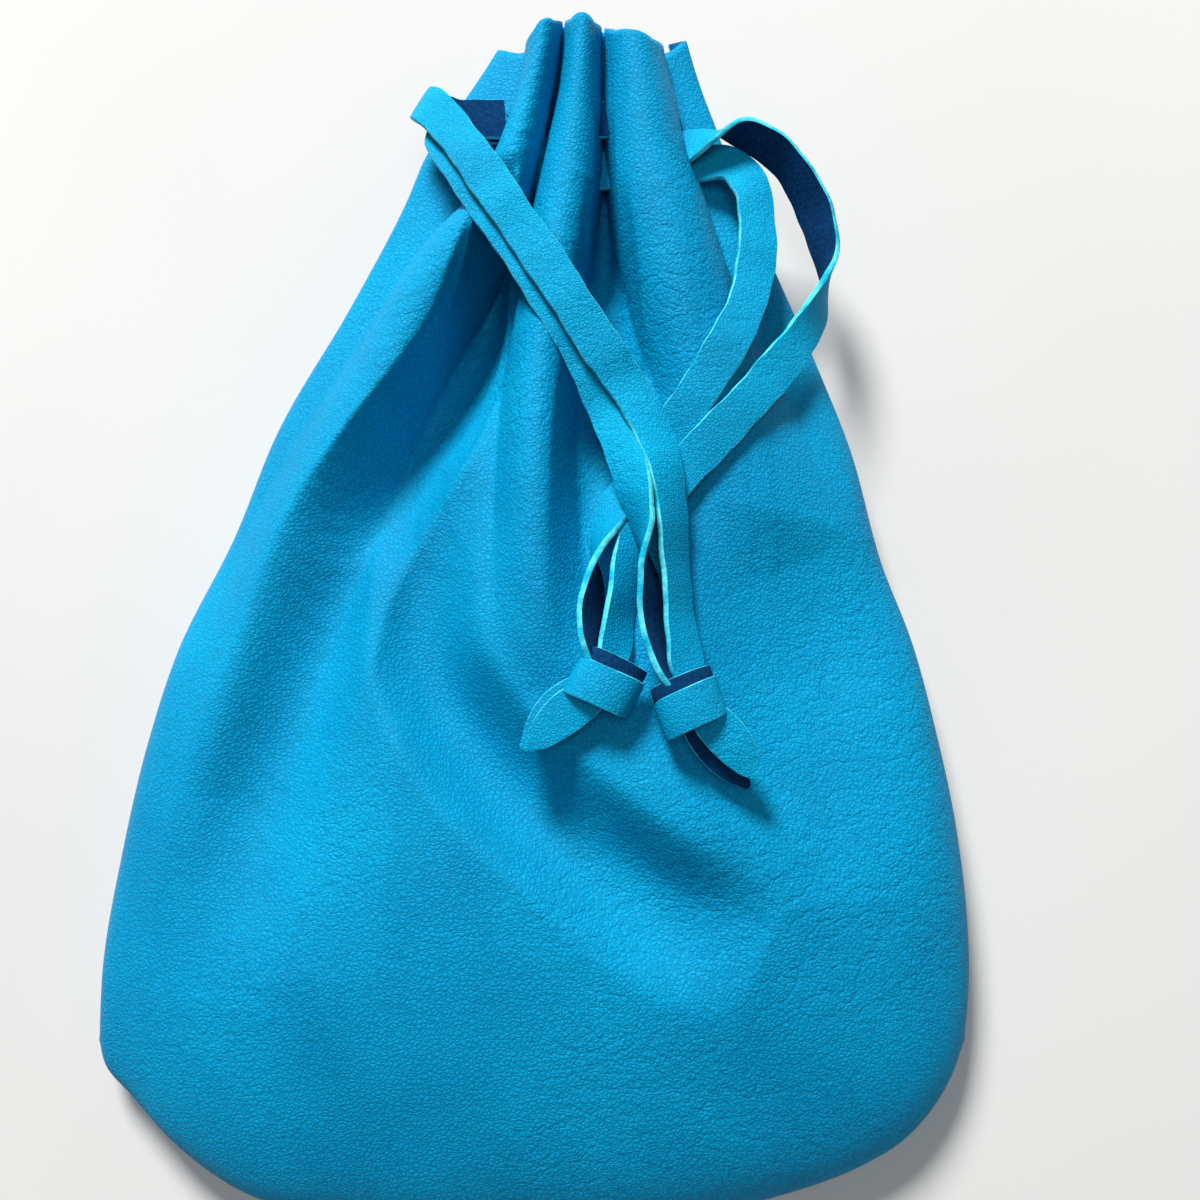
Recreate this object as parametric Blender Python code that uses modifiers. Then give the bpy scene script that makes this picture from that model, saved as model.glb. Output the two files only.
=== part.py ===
"""Soft leather drawstring pouch, lying on its back with its neck drawn in by two flat laces."""

import bpy
import numpy as np

# The bag, in metres: +X across it, +Y from its bottom seam to its mouth, +Z up from its back.
LEATHER = 0.0012
SEAM_ALLOWANCE = 0.004
SEAM_GAP = 0.0003
FRONT_CROWN = (2.2, 0.45)
BACK_CROWN = (5.0, 0.20)
FLAT_SOFTENING = 0.0015

# Plan of the bag, drawn as four lines that meet at its corners.
LEFT_SIDE = [(-0.0862, -0.0836), (-0.0856, -0.0680), (-0.0823, -0.0463), (-0.0777, -0.0242),
             (-0.0722, -0.0060), (-0.0614, 0.0166), (-0.0525, 0.0393), (-0.0382, 0.0641),
             (-0.0269, 0.0859), (-0.0223, 0.0971), (-0.0136, 0.1098), (-0.0082, 0.1160)]
RIGHT_SIDE = [(0.0859, -0.0836), (0.0869, -0.0719), (0.0851, -0.0423), (0.0813, -0.0222),
              (0.0767, -0.0039), (0.0707, 0.0124), (0.0648, 0.0351), (0.0576, 0.0535),
              (0.0475, 0.0766), (0.0414, 0.0912), (0.0367, 0.1047), (0.0315, 0.1175)]
BOTTOM = [(-0.0862, -0.0836), (-0.0848, -0.0884), (-0.0796, -0.0942), (-0.0694, -0.1047),
          (-0.0554, -0.1136), (-0.0356, -0.1178), (-0.0033, -0.1191), (0.0291, -0.1178),
          (0.0488, -0.1136), (0.0656, -0.1076), (0.0736, -0.1028), (0.0828, -0.0913),
          (0.0859, -0.0836)]
MOUTH = [(-0.0082, 0.1160), (-0.0021, 0.1150), (0.0025, 0.1180), (0.0098, 0.1187),
         (0.0201, 0.1152), (0.0273, 0.1150), (0.0315, 0.1175)]

# Heights along the bag, (y, z): its side seams, and how far the front swells above them.
SEAM_HEIGHT = [(-0.120, 0.006), (-0.060, 0.007), (0.0, 0.008), (0.040, 0.010),
               (0.080, 0.0135), (0.100, 0.014), (0.120, 0.0145)]
FRONT_RISE = [(-0.120, 0.021), (-0.060, 0.023), (0.0, 0.021), (0.030, 0.0165),
              (0.055, 0.0100), (0.080, 0.0050), (0.100, 0.0040), (0.120, 0.0040)]
BACK_LEVEL = [(-0.120, -0.004), (0.030, -0.004), (0.060, 0.002), (0.085, 0.0075),
              (0.100, 0.0082), (0.120, 0.0082)]
# How a pleat's section changes down the bag, (y, power): 0.5 is a tube, 1.5 a soft swell.
PLEAT_POWER = [(-0.120, 1.6), (0.0, 1.5), (0.040, 1.0), (0.070, 0.55), (0.120, 0.5)]

# Pleats and dips of the front, each a line of (x, y, half width, height) from the mouth down.
FRONT_PLEATS = {
    "left tube": [(0.0022, 0.1260, 0.0036, 0.0120), (0.0020, 0.1172, 0.0037, 0.0125),
                  (-0.0008, 0.1015, 0.0043, 0.0130), (-0.0034, 0.0921, 0.0050, 0.0130),
                  (-0.0081, 0.0807, 0.0062, 0.0135), (-0.0156, 0.0712, 0.0076, 0.0130),
                  (-0.0262, 0.0532, 0.0092, 0.0105), (-0.0419, 0.0209, 0.0125, 0.0062),
                  (-0.0500, 0.0017, 0.0130, 0.0040), (-0.0593, -0.0359, 0.0130, 0.0)],
    "middle tube": [(0.0100, 0.1260, 0.0038, 0.0125), (0.0099, 0.1167, 0.0039, 0.0130),
                    (0.0087, 0.1010, 0.0050, 0.0130), (0.0077, 0.0917, 0.0060, 0.0130),
                    (0.0060, 0.0803, 0.0067, 0.0130), (0.0042, 0.0682, 0.0068, 0.0125),
                    (0.0022, 0.0519, 0.0074, 0.0110), (0.0010, 0.0207, 0.0084, 0.0072),
                    (0.0020, 0.0016, 0.0095, 0.0045), (0.0045, -0.0154, 0.0095, 0.0)],
    "right tube": [(0.0200, 0.1260, 0.0058, 0.0125), (0.0202, 0.1167, 0.0060, 0.0130),
                   (0.0221, 0.1010, 0.0078, 0.0135), (0.0232, 0.0917, 0.0086, 0.0135),
                   (0.0258, 0.0803, 0.0100, 0.0135), (0.0290, 0.0682, 0.0106, 0.0125),
                   (0.0312, 0.0602, 0.0110, 0.0110), (0.0393, 0.0384, 0.0130, 0.0060),
                   (0.0514, 0.0093, 0.0150, 0.0)],
    "left trough": [(-0.0062, 0.0800, 0.0045, 0.0), (-0.0085, 0.0700, 0.0060, -0.0035),
                    (-0.0125, 0.0534, 0.0085, -0.0090), (-0.0185, 0.0410, 0.0105, -0.0110),
                    (-0.0270, 0.0280, 0.0120, -0.0100), (-0.0370, 0.0120, 0.0130, -0.0082),
                    (-0.0440, -0.0080, 0.0140, -0.0065), (-0.0530, -0.0360, 0.0150, -0.0045),
                    (-0.0580, -0.0560, 0.0150, -0.0025), (-0.0600, -0.0750, 0.0150, 0.0)],
    "middle trough": [(0.0145, 0.0860, 0.0040, 0.0), (0.0148, 0.0727, 0.0055, -0.0035),
                      (0.0145, 0.0563, 0.0075, -0.0080), (0.0135, 0.0381, 0.0090, -0.0085),
                      (0.0125, 0.0200, 0.0090, -0.0060), (0.0110, -0.0100, 0.0080, 0.0)],
    "curved trough": [(-0.0160, 0.0290, 0.0090, 0.0), (-0.0206, 0.0060, 0.0110, -0.0060),
                      (-0.0190, -0.0110, 0.0120, -0.0085), (-0.0093, -0.0270, 0.0130, -0.0090),
                      (0.0110, -0.0460, 0.0140, -0.0075), (0.0284, -0.0590, 0.0150, -0.0050),
                      (0.0440, -0.0660, 0.0150, 0.0)],
    "right dip": [(0.0560, 0.0180, 0.0250, 0.0), (0.0520, -0.0040, 0.0260, -0.0050),
                  (0.0530, -0.0300, 0.0260, -0.0040), (0.0540, -0.0560, 0.0230, 0.0)],
    "low swell": [(0.0100, -0.0200, 0.0120, 0.0), (0.0250, -0.0370, 0.0130, 0.0020),
                  (0.0420, -0.0450, 0.0130, 0.0015), (0.0560, -0.0480, 0.0130, 0.0)],
}
BACK_PLEATS = {
    "first tube": [(-0.0010, 0.1260, 0.0048, -0.0105), (-0.0010, 0.1000, 0.0048, -0.0105),
                   (-0.0070, 0.0800, 0.0070, -0.0100), (-0.0200, 0.0550, 0.0090, -0.0040),
                   (-0.0320, 0.0300, 0.0100, 0.0)],
    "second tube": [(0.0105, 0.1260, 0.0048, -0.0105), (0.0105, 0.1000, 0.0048, -0.0105),
                    (0.0095, 0.0800, 0.0065, -0.0100), (0.0070, 0.0550, 0.0090, -0.0040),
                    (0.0040, 0.0300, 0.0100, 0.0)],
    "third tube": [(0.0220, 0.1260, 0.0048, -0.0105), (0.0220, 0.1000, 0.0048, -0.0105),
                   (0.0265, 0.0800, 0.0070, -0.0100), (0.0350, 0.0550, 0.0090, -0.0040),
                   (0.0420, 0.0300, 0.0100, 0.0)],
}
PLEAT_POINTS = 120
ROW_POINTS = 900

# Cage of each panel: faces across it and along it, before one level of subdivision.
FRONT_CAGE = (32, 10)
BACK_CAGE = (24, 10)

# Slits through the pleats at the neck, as bars (centre, size) that both laces run along.
FRONT_SLIT = ((0.0115, 0.0963, 0.0217), (0.0490, 0.0187, 0.0058))
BACK_SLIT = ((0.0105, 0.0963, 0.0060), (0.0230, 0.0187, 0.0044))

# Each lace is a flat strip. A station is (x, y, z) of its middle and the way across it.
LACE_HALF_WIDTH = 0.0040
LACE_THICKNESS = 0.0014
LACE_STEP = 0.0030
KNOT_RADII = (0.0064, 0.0057, 0.0042)

# Strands run from the neck to their knot.
LEFT_UPPER_STRAND = [
    ((-0.0060, 0.1005, 0.0200), (0, -1, 0)), ((-0.0130, 0.1012, 0.0197), (0, -1, 0)),
    ((-0.0190, 0.1028, 0.0203), (-0.40, -0.92, 0)), ((-0.0226, 0.1036, 0.0230), (-0.50, -0.87, 0)),
    ((-0.0212, 0.1022, 0.0260), (-0.60, -0.80, 0)), ((-0.0181, 0.0986, 0.0278), (-0.80, -0.60, 0)),
    ((-0.0122, 0.0900, 0.0314), (-0.84, -0.54, 0)), ((-0.0061, 0.0805, 0.0333), (-0.84, -0.54, 0)),
    ((-0.0005, 0.0719, 0.0340), (-0.84, -0.54, 0)), ((0.0042, 0.0647, 0.0349), (-0.84, -0.54, 0)),
    ((0.0090, 0.0571, 0.0346), (-0.84, -0.54, 0)), ((0.0140, 0.0495, 0.0334), (-0.86, -0.50, 0.05)),
    ((0.0192, 0.0420, 0.0318), (-0.88, -0.42, 0.20)), ((0.0236, 0.0338, 0.0323), (-0.85, -0.30, 0.42)),
    ((0.0263, 0.0241, 0.0331), (-0.78, -0.10, 0.60)), ((0.0273, 0.0133, 0.0324), (-0.66, 0, 0.75)),
    ((0.0281, 0.0018, 0.0318), (-0.66, 0, 0.75)), ((0.0293, -0.0088, 0.0325), (-0.80, 0.10, 0.58)),
    ((0.0302, -0.0160, 0.0338), (-0.95, 0.10, 0.20)),
]
LEFT_UNDER_STRAND = [
    ((-0.0060, 0.1005, 0.0223), (0, -1, 0)), ((-0.0115, 0.1007, 0.0223), (0, -1, 0)),
    ((-0.0165, 0.1012, 0.0223), (-0.35, -0.94, 0)), ((-0.0194, 0.1016, 0.0233), (-0.50, -0.87, 0)),
    ((-0.0188, 0.1000, 0.0243), (-0.62, -0.78, 0)), ((-0.0182, 0.0966, 0.0256), (-0.80, -0.60, 0)),
    ((-0.0139, 0.0878, 0.0294), (-0.84, -0.54, 0)), ((-0.0077, 0.0782, 0.0312), (-0.84, -0.54, 0)),
    ((-0.0021, 0.0697, 0.0321), (-0.84, -0.54, 0)), ((0.0028, 0.0619, 0.0328), (-0.84, -0.54, 0)),
    ((0.0072, 0.0545, 0.0322), (-0.84, -0.54, 0)), ((0.0118, 0.0465, 0.0310), (-0.87, -0.48, -0.10)),
    ((0.0156, 0.0370, 0.0304), (-0.88, -0.30, -0.25)), ((0.0188, 0.0274, 0.0332), (-0.82, -0.15, -0.50)),
    ((0.0210, 0.0175, 0.0347), (-0.55, 0, -0.83)), ((0.0224, 0.0058, 0.0345), (0.10, 0, -0.99)),
    ((0.0238, -0.0068, 0.0338), (0.30, 0, -0.95)), ((0.0280, -0.0165, 0.0340), (0.25, 0.20, -0.95)),
]
RIGHT_OUTER_STRAND = [
    ((0.0260, 0.0925, 0.0223), (0, -1, 0)), ((0.0316, 0.0950, 0.0223), (0, -0.95, 0.30)),
    ((0.0360, 0.0970, 0.0226), (0, -0.60, 0.80)), ((0.0417, 0.0977, 0.0225), (0.10, 0.30, 0.95)),
    ((0.0479, 0.0954, 0.0210), (0.35, 0.55, 0.75)), ((0.0538, 0.0896, 0.0190), (0.55, 0.45, 0.70)),
    ((0.0573, 0.0830, 0.0175), (0.70, 0.25, 0.67)), ((0.0593, 0.0758, 0.0170), (0.60, 0, 0.80)),
    ((0.0592, 0.0675, 0.0182), (-0.10, 0.20, 0.97)), ((0.0547, 0.0573, 0.0210), (-0.65, 0.45, 0.60)),
    ((0.0472, 0.0468, 0.0258), (-0.72, 0.62, 0.30)), ((0.0401, 0.0383, 0.0296), (-0.73, 0.65, 0.20)),
    ((0.0336, 0.0314, 0.0294), (-0.73, 0.67, 0.10)), ((0.0283, 0.0257, 0.0283), (-0.72, 0.69, 0)),
    ((0.0240, 0.0200, 0.0283), (-0.76, 0.65, 0)), ((0.0205, 0.0138, 0.0293), (-0.80, 0.50, 0.30)),
    ((0.0182, 0.0059, 0.0313), (-0.68, 0.10, 0.72)), ((0.0170, -0.0019, 0.0320), (-0.66, 0, 0.75)),
    ((0.0158, -0.0095, 0.0334), (-0.85, 0, 0.50)), ((0.0150, -0.0130, 0.0346), (-1, 0, 0)),
]
RIGHT_INNER_STRAND = [
    ((0.0290, 0.0918, 0.0200), (0, -1, 0)), ((0.0344, 0.0922, 0.0200), (0, -1, 0.10)),
    ((0.0394, 0.0922, 0.0203), (-0.35, -0.90, 0.25)), ((0.0433, 0.0880, 0.0216), (-0.75, -0.60, 0.25)),
    ((0.0448, 0.0801, 0.0228), (-0.95, -0.10, 0.30)), ((0.0446, 0.0713, 0.0245), (-0.95, 0.10, 0.30)),
    ((0.0424, 0.0613, 0.0272), (-0.93, 0.25, 0.25)), ((0.0382, 0.0519, 0.0302), (-0.88, 0.45, 0.15)),
    ((0.0336, 0.0442, 0.0303), (-0.85, 0.52, 0)), ((0.0291, 0.0374, 0.0288), (-0.84, 0.54, 0)),
    ((0.0250, 0.0314, 0.0268), (-0.82, 0.57, 0)), ((0.0208, 0.0255, 0.0268), (-0.80, 0.55, -0.20)),
    ((0.0164, 0.0200, 0.0280), (-0.70, 0.40, -0.60)), ((0.0132, 0.0127, 0.0303), (-0.30, 0.15, -0.94)),
    ((0.0120, 0.0039, 0.0324), (0.15, 0, -0.99)), ((0.0119, -0.0060, 0.0334), (0.35, 0, -0.94)),
    ((0.0128, -0.0125, 0.0338), (0.30, 0, -0.95)),
]
# Runs round the neck, through the front pleats one way and the back pleats the other.
LEFT_NECK_RUN = [
    ((0.0020, 0.1005, 0.0223), (0, 1, 0)), ((0.0120, 0.1005, 0.0223), (0, 1, 0)),
    ((0.0190, 0.1005, 0.0222), (0, 1, 0)), ((0.0230, 0.1005, 0.0208), (0, 1, 0)),
    ((0.0240, 0.1005, 0.0175), (0, 1, 0)), ((0.0232, 0.1005, 0.0120), (0, 1, 0)),
    ((0.0220, 0.1005, 0.0080), (0, 1, 0)), ((0.0185, 0.1005, 0.0062), (0, 1, 0)),
    ((0.0120, 0.1005, 0.0060), (0, 1, 0)), ((0.0040, 0.1005, 0.0060), (0, 1, 0)),
    ((0.0006, 0.1005, 0.0070), (0, 1, 0)), ((-0.0006, 0.1005, 0.0098), (0.35, 0.94, 0)),
    ((-0.0008, 0.1005, 0.0138), (1, 0, 0)), ((-0.0010, 0.1005, 0.0172), (0.35, -0.94, 0)),
    ((-0.0022, 0.1005, 0.0195), (0, -1, 0)),
]
RIGHT_NECK_RUN = [
    ((0.0160, 0.0920, 0.0223), (0, 1, 0)), ((0.0060, 0.0920, 0.0223), (0, 1, 0)),
    ((0.0015, 0.0920, 0.0222), (0, 1, 0)), ((-0.0025, 0.0920, 0.0208), (0, 1, 0)),
    ((-0.0034, 0.0920, 0.0175), (0, 1, 0)), ((-0.0026, 0.0920, 0.0120), (0, 1, 0)),
    ((-0.0010, 0.0920, 0.0080), (0, 1, 0)), ((0.0020, 0.0920, 0.0062), (0, 1, 0)),
    ((0.0100, 0.0920, 0.0060), (0, 1, 0)), ((0.0180, 0.0920, 0.0060), (0, 1, 0)),
    ((0.0214, 0.0920, 0.0070), (0, 1, 0)), ((0.0226, 0.0920, 0.0098), (-0.35, 0.94, 0)),
    ((0.0228, 0.0920, 0.0138), (-1, 0, 0)), ((0.0230, 0.0920, 0.0172), (-0.35, -0.94, 0)),
    ((0.0244, 0.0920, 0.0195), (0, -1, 0)),
]
LEFT_TAILS = [
    [((0.0320, -0.0190, 0.0345), (-0.60, -0.52, 0)), ((0.0370, -0.0243, 0.0336), (-0.68, -0.60, 0)),
     ((0.0434, -0.0322, 0.0318), (-0.12, -0.10, 0))],
    [((0.0305, -0.0200, 0.0322), (-0.60, -0.52, 0)), ((0.0350, -0.0258, 0.0314), (-0.66, -0.60, 0)),
     ((0.0412, -0.0335, 0.0298), (-0.12, -0.10, 0))],
]
RIGHT_TAILS = [
    [((0.0130, -0.0155, 0.0345), (-0.50, 0.62, 0)), ((0.0070, -0.0198, 0.0338), (-0.55, 0.72, 0)),
     ((-0.0006, -0.0266, 0.0323), (-0.10, 0.14, 0))],
    [((0.0125, -0.0170, 0.0322), (-0.50, 0.62, 0)), ((0.0060, -0.0222, 0.0316), (-0.55, 0.72, 0)),
     ((0.0005, -0.0290, 0.0304), (-0.10, 0.14, 0))],
]
LEFT_KNOT = (0.0301, -0.0183, 0.0336)
RIGHT_KNOT = (0.0143, -0.0146, 0.0338)

# The sewing thread runs round the seam just inside the allowances' edge.
THREAD_RADIUS = 0.0003
THREAD_INSET = 0.0016
THREAD_LIFT = 0.0005
THREAD_POINTS = 70


def smooth_between(at, values, where):
    """Values of the smooth curve through the knots (at, values), read at each place in where."""
    at = np.asarray(at, float)
    values = np.asarray(values, float)
    slopes = np.gradient(values, at, axis=0)
    left = np.clip(np.searchsorted(at, where, side="right") - 1, 0, len(at) - 2)
    gap = at[left + 1] - at[left]
    t = np.clip((where - at[left]) / gap, 0, 1)
    if values.ndim > 1:
        gap = gap[..., None]
        t = t[..., None]
    return (
        values[left] * (2 * t**3 - 3 * t**2 + 1)
        + slopes[left] * gap * (t**3 - 2 * t**2 + t)
        + values[left + 1] * (3 * t**2 - 2 * t**3)
        + slopes[left + 1] * gap * (t**3 - t**2)
    )


def along(knots, share):
    """Points of the smooth curve through the knots, at shares of its length from 0 to 1."""
    knots = np.array(knots)
    steps = np.linalg.norm(np.diff(knots[:, :2], axis=0), axis=1)
    at = np.concatenate([[0], np.cumsum(steps)]) / steps.sum()
    return smooth_between(at, knots, share)


def level(knots, y):
    """Height of a line of (y, height) knots at y."""
    at, heights = np.array(knots).T
    return smooth_between(at, heights, y)


def plan_point(u, v):
    """Plan position at u, from the left seam to the right one, and v, from the bottom to the mouth."""
    low, high = along(BOTTOM, u), along(MOUTH, u)
    left, right = along(LEFT_SIDE, v), along(RIGHT_SIDE, v)
    corners = np.array([LEFT_SIDE[0], RIGHT_SIDE[0], LEFT_SIDE[-1], RIGHT_SIDE[-1]])
    u, v = u[..., None], v[..., None]
    flat = (corners[0] * (1 - u) + corners[1] * u) * (1 - v) + (corners[2] * (1 - u) + corners[3] * u) * v
    return low * (1 - v) + high * v + left * (1 - u) + right * u - flat


def pleat_height(route, x, y):
    """Height that one pleat adds at each plan position."""
    line = along(route, np.linspace(0, 1, PLEAT_POINTS))
    away = np.hypot(x[..., None] - line[:, 0], y[..., None] - line[:, 1])
    nearest = away.argmin(axis=-1)
    share = np.clip(away.min(axis=-1) / line[nearest, 2], 0, 1)
    return line[nearest, 3] * (1 - share**2) ** level(PLEAT_POWER, np.clip(y, -0.12, 0.12))


def crown(u, v, shape):
    """Swell of a panel, from 0 on its seams to 1 over its middle."""
    power, bottom_share = shape
    across = 1 - np.abs(2 * u - 1) ** power
    up = 1 - (1 - np.clip(v / bottom_share, 0, 1)) ** power
    return np.sqrt(np.clip(across, 0, 1) * np.clip(up, 0, 1))


def resting(z):
    """Heights held off the table: exactly 0 where the bag's back lies flat on it."""
    soft = (z + FLAT_SOFTENING) ** 2 / (4 * FLAT_SOFTENING)
    return np.where(z < -FLAT_SOFTENING, 0, np.where(z < FLAT_SOFTENING, soft, z))


def front_point(u, v):
    x, y = np.moveaxis(plan_point(u, v), -1, 0)
    seam = level(SEAM_HEIGHT, y)
    z = seam + SEAM_GAP / 2 + level(FRONT_RISE, y) * crown(u, v, FRONT_CROWN)
    for route in FRONT_PLEATS.values():
        z = z + pleat_height(route, x, y) * np.minimum(1, 6 * crown(u, v, FRONT_CROWN))
    return np.stack([x, y, z], axis=-1)


def back_point(u, v):
    x, y = np.moveaxis(plan_point(u, v), -1, 0)
    seam = level(SEAM_HEIGHT, y) - SEAM_GAP / 2
    z = seam + (level(BACK_LEVEL, y) - seam) * crown(u, v, BACK_CROWN)
    for route in BACK_PLEATS.values():
        z = z + pleat_height(route, x, y) * np.minimum(1, 6 * crown(u, v, BACK_CROWN))
    return np.stack([x, y, resting(z)], axis=-1)


def panel_rows(point, columns, rows):
    """Rows of points from the bottom to the mouth, each cut at equal steps of its own length."""
    u = np.linspace(0, 1, ROW_POINTS)
    sheet = []
    for v in np.linspace(0, 1, rows + 1):
        row = point(u, np.full_like(u, v))
        steps = np.linalg.norm(np.diff(row, axis=0), axis=1)
        length = np.concatenate([[0], np.cumsum(steps)])
        even = np.interp(np.linspace(0, length[-1], columns + 1), length, u)
        sheet.append(point(even, np.full_like(even, v)))
    return np.array(sheet)


def seam_order(rows, columns):
    """Indices of a panel's edge points, down its left seam, along its bottom and up its right seam."""
    index = np.arange(rows * columns).reshape(rows, columns)
    return np.concatenate([index[::-1, 0], index[0, 1:-1], index[:, -1]])


def inset(line, distance):
    """A seam line moved into the bag, level with itself."""
    travel = np.gradient(line[:, :2], axis=0)
    travel = travel / np.linalg.norm(travel, axis=1)[:, None]
    inward = np.stack([-travel[:, 1], travel[:, 0], np.zeros(len(travel))], axis=1)
    return line + inward * distance


def panel_faces(sheet):
    """Vertices and faces of a panel facing up, with its seam allowance folded in under it."""
    rows, columns = sheet.shape[:2]
    index = np.arange(rows * columns).reshape(rows, columns)
    faces = []
    for j in range(rows - 1):
        for i in range(columns - 1):
            faces.append((index[j, i], index[j, i + 1], index[j + 1, i + 1], index[j + 1, i]))
    seam = seam_order(rows, columns)
    allowance = inset(sheet.reshape(-1, 3)[seam], SEAM_ALLOWANCE)
    first = rows * columns
    for k in range(len(seam) - 1):
        faces.append((seam[k + 1], seam[k], first + k, first + k + 1))
    points = np.concatenate([sheet.reshape(-1, 3), allowance])
    return points, [tuple(int(i) for i in face) for face in faces]


def material(name, colour, roughness):
    made = bpy.data.materials.new(name)
    made.use_nodes = True
    shader = made.node_tree.nodes["Principled BSDF"]
    shader.inputs["Base Color"].default_value = (*colour, 1)
    shader.inputs["Roughness"].default_value = roughness
    shader.inputs["Metallic"].default_value = 0
    return made


def mesh_object(name, points, faces, collection):
    mesh = bpy.data.meshes.new(name)
    mesh.from_pydata([tuple(p) for p in points], [], faces)
    mesh.validate()
    made = bpy.data.objects.new(name, mesh)
    collection.objects.link(made)
    return made


def make_panel(name, sheet, faces_up, collection):
    points, faces = panel_faces(sheet)
    if not faces_up:
        faces = [face[::-1] for face in faces]
    panel = mesh_object(name, points, faces, collection)
    smooth = panel.modifiers.new("smooth", "SUBSURF")
    smooth.levels = 1
    smooth.render_levels = 1
    add_solidify(panel, LEATHER, -1)
    panel.data.shade_smooth()
    return panel


def add_solidify(obj, thickness, offset):
    skin = obj.modifiers.new("leather", "SOLIDIFY")
    skin.thickness = thickness
    skin.offset = offset
    skin.use_even_offset = True


def cut_slit(panel, slit, cutters):
    """Cuts a bar-shaped slit through every pleat wall that the bar crosses."""
    centre, size = slit
    bpy.ops.mesh.primitive_cube_add(size=1, location=centre)
    bar = bpy.context.object
    bar.name = panel.name + "_slit"
    bar.scale = size
    bpy.ops.object.transform_apply(location=False, rotation=False, scale=True)
    for holder in bar.users_collection:
        holder.objects.unlink(bar)
    cutters.objects.link(bar)
    bar.hide_render = True
    bar.display_type = "WIRE"
    cut = panel.modifiers.new("lace slits", "BOOLEAN")
    cut.operation = "DIFFERENCE"
    cut.object = bar


def turned(strand):
    """A strand travelled the other way."""
    return [(middle, tuple(-a for a in across)) for middle, across in strand[::-1]]


def strip(name, stations, collection):
    """A flat strip of leather along its stations, each a middle and the way across."""
    middles = np.array([middle for middle, _ in stations])
    across = np.array([way for _, way in stations], float)
    steps = np.linalg.norm(np.diff(middles, axis=0), axis=1)
    at = np.concatenate([[0], np.cumsum(steps)])
    where = np.linspace(0, at[-1], max(4, round(at[-1] / LACE_STEP)) + 1)
    middles = smooth_between(at, middles, where)
    across = smooth_between(at, across, where)
    tail = len(stations) < 4
    length = 1 if tail else np.linalg.norm(across, axis=1)[:, None]
    half = across / length * LACE_HALF_WIDTH
    points = np.concatenate([middles - half, middles + half])
    count = len(middles)
    faces = [(k, count + k, count + k + 1, k + 1) for k in range(count - 1)]
    made = mesh_object(name, points, faces, collection)
    add_solidify(made, LACE_THICKNESS, 0)
    return made


def joined(pieces, name):
    """One solid made of overlapping pieces; the first one keeps the result."""
    body = pieces[0]
    for piece in pieces[1:]:
        union = body.modifiers.new("join", "BOOLEAN")
        union.operation = "UNION"
        union.solver = "MANIFOLD"
        union.object = piece
    graph = bpy.context.evaluated_depsgraph_get()
    mesh = bpy.data.meshes.new_from_object(body.evaluated_get(graph))
    for piece in pieces[1:]:
        bpy.data.objects.remove(piece)
    body.modifiers.clear()
    body.data = mesh
    body.name = name
    return body


def make_lace(name, stations, tails, knot, collection):
    """A lace with both its ends tied in one knot, from which its two tails hang."""
    pieces = [strip(name, stations, collection)]
    bpy.ops.mesh.primitive_uv_sphere_add(segments=16, ring_count=10, radius=1, location=knot)
    lump = bpy.context.object
    lump.scale = KNOT_RADII
    bpy.ops.object.transform_apply(location=False, rotation=False, scale=True)
    pieces.append(lump)
    for number, tail in enumerate(tails):
        pieces.append(strip(f"{name}_tail_{number}", tail, collection))
    return joined(pieces, name)


def make_thread(sheet, collection):
    """The thread of the seam, as one fine round strand."""
    seam = sheet.reshape(-1, 3)[seam_order(*sheet.shape[:2])]
    line = inset(seam, SEAM_ALLOWANCE + THREAD_INSET)
    line[:, 2] = level(SEAM_HEIGHT, seam[:, 1]) + THREAD_LIFT
    line = line[1:-1]
    curve = bpy.data.curves.new("seam_thread", "CURVE")
    curve.dimensions = "3D"
    curve.bevel_depth = THREAD_RADIUS
    curve.bevel_resolution = 0
    curve.use_fill_caps = True
    route = curve.splines.new("POLY")
    picked = line[np.linspace(0, len(line) - 1, THREAD_POINTS).round().astype(int)]
    picked = picked[np.concatenate([[True], np.any(np.diff(picked, axis=0) != 0, axis=1)])]
    route.points.add(len(picked) - 1)
    for point, place in zip(route.points, picked):
        point.co = (*place, 1)
    thread = bpy.data.objects.new("seam_thread", curve)
    collection.objects.link(thread)
    return thread


def main():
    for obj in list(bpy.data.objects):
        bpy.data.objects.remove(obj)
    pouch = bpy.data.collections.new("drawstring_pouch")
    cutters = bpy.data.collections.new("cutters")
    bpy.context.scene.collection.children.link(pouch)
    bpy.context.scene.collection.children.link(cutters)
    front_rows = panel_rows(front_point, *FRONT_CAGE)
    front = make_panel("front_panel", front_rows, True, pouch)
    back = make_panel("back_panel", panel_rows(back_point, *BACK_CAGE), False, pouch)
    cut_slit(front, FRONT_SLIT, cutters)
    cut_slit(back, BACK_SLIT, cutters)
    left = make_lace("left_lace", turned(LEFT_UNDER_STRAND) + LEFT_NECK_RUN + LEFT_UPPER_STRAND,
                     LEFT_TAILS, LEFT_KNOT, pouch)
    right = make_lace("right_lace", turned(RIGHT_OUTER_STRAND) + RIGHT_NECK_RUN + RIGHT_INNER_STRAND,
                      RIGHT_TAILS, RIGHT_KNOT, pouch)
    thread = make_thread(front_rows, pouch)
    leather = material("turquoise_leather", (0.0, 0.26, 0.47), 0.55)
    for panel in (front, back):
        panel.data.materials.append(leather)
    lace_leather = material("turquoise_lace", (0.0, 0.30, 0.52), 0.5)
    for lace in (left, right):
        lace.data.materials.clear()
        lace.data.materials.append(lace_leather)
    thread.data.materials.append(material("turquoise_thread", (0.0, 0.18, 0.33), 0.7))


main()
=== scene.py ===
"""Drawstring pouch in soft turquoise leather, lying on its back; its neck is drawn in by two flat laces."""

import math

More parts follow.
